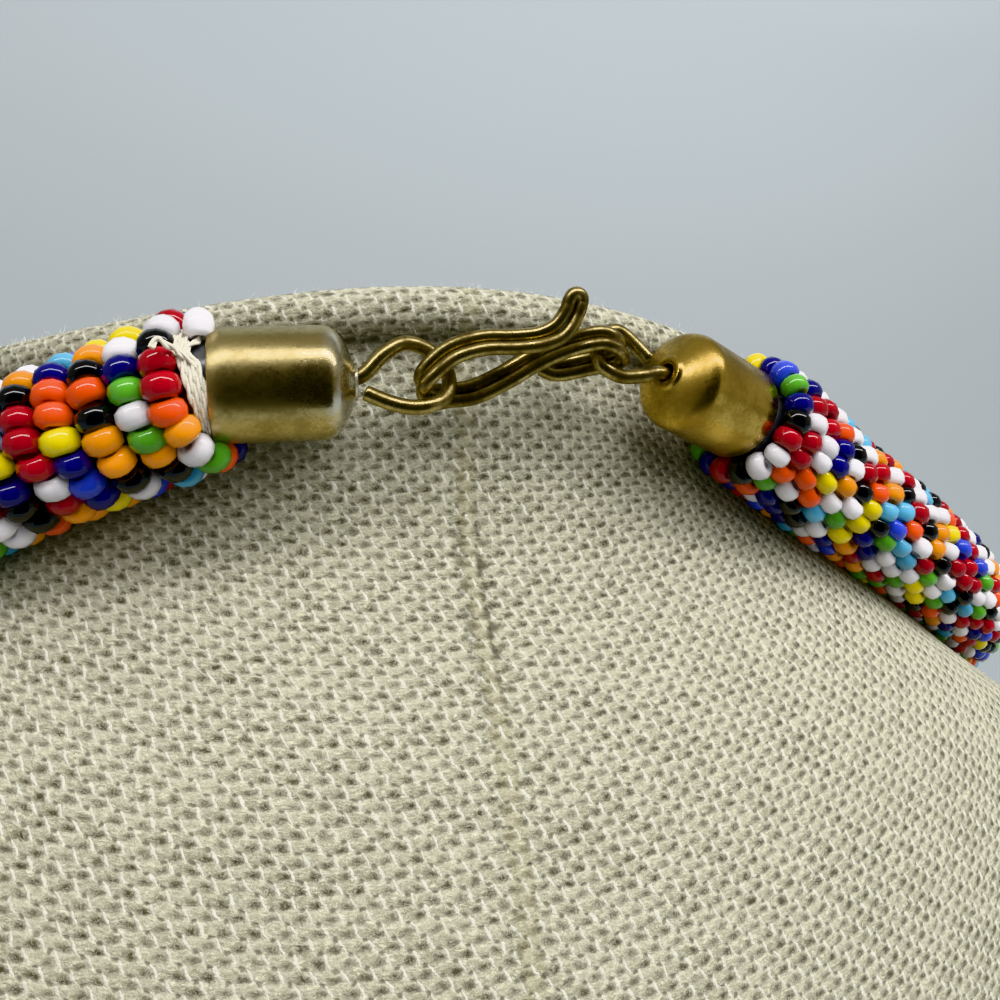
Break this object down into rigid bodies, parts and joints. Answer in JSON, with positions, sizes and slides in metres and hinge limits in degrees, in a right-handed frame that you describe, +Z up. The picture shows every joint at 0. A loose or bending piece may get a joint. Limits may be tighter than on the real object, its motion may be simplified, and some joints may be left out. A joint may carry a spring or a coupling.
{
  "type": "beaded collar necklace on a neck bust",
  "caption": "Thick seed-bead rope collar closed at the nape by brass end caps and a doubled-wire S-hook, shown on a linen-covered neck bust with a rolled rim.",
  "frame": {"origin": "bottom centre of the bounding box, on the table under the bust", "axes": "+X to the right in the picture, which is the wearer's right; +Y from the nape to the chest; +Z up. The clasp is at the back, at -Y."},
  "size_m": [0.2436, 0.17, 0.2267],
  "materials": {
    "linen": "oatmeal plain-weave linen",
    "core": "smooth glossy grey tube",
    "seed_beads": "opaque glossy seed beads in white, red, black, orange, amber, green, light blue, yellow, navy and blue",
    "cap_brass": "worn, half-polished brass",
    "wire_brass": "antique brass wire"
  },
  "bodies": {
    "root": {"neck_bust": "linen", "core_tube": "core", "bead_rope": "seed_beads", "left_cap": "cap_brass", "right_cap": "cap_brass", "left_eye": "wire_brass", "right_eye": "wire_brass", "s_hook": "wire_brass"}
  },
  "joints": []
}
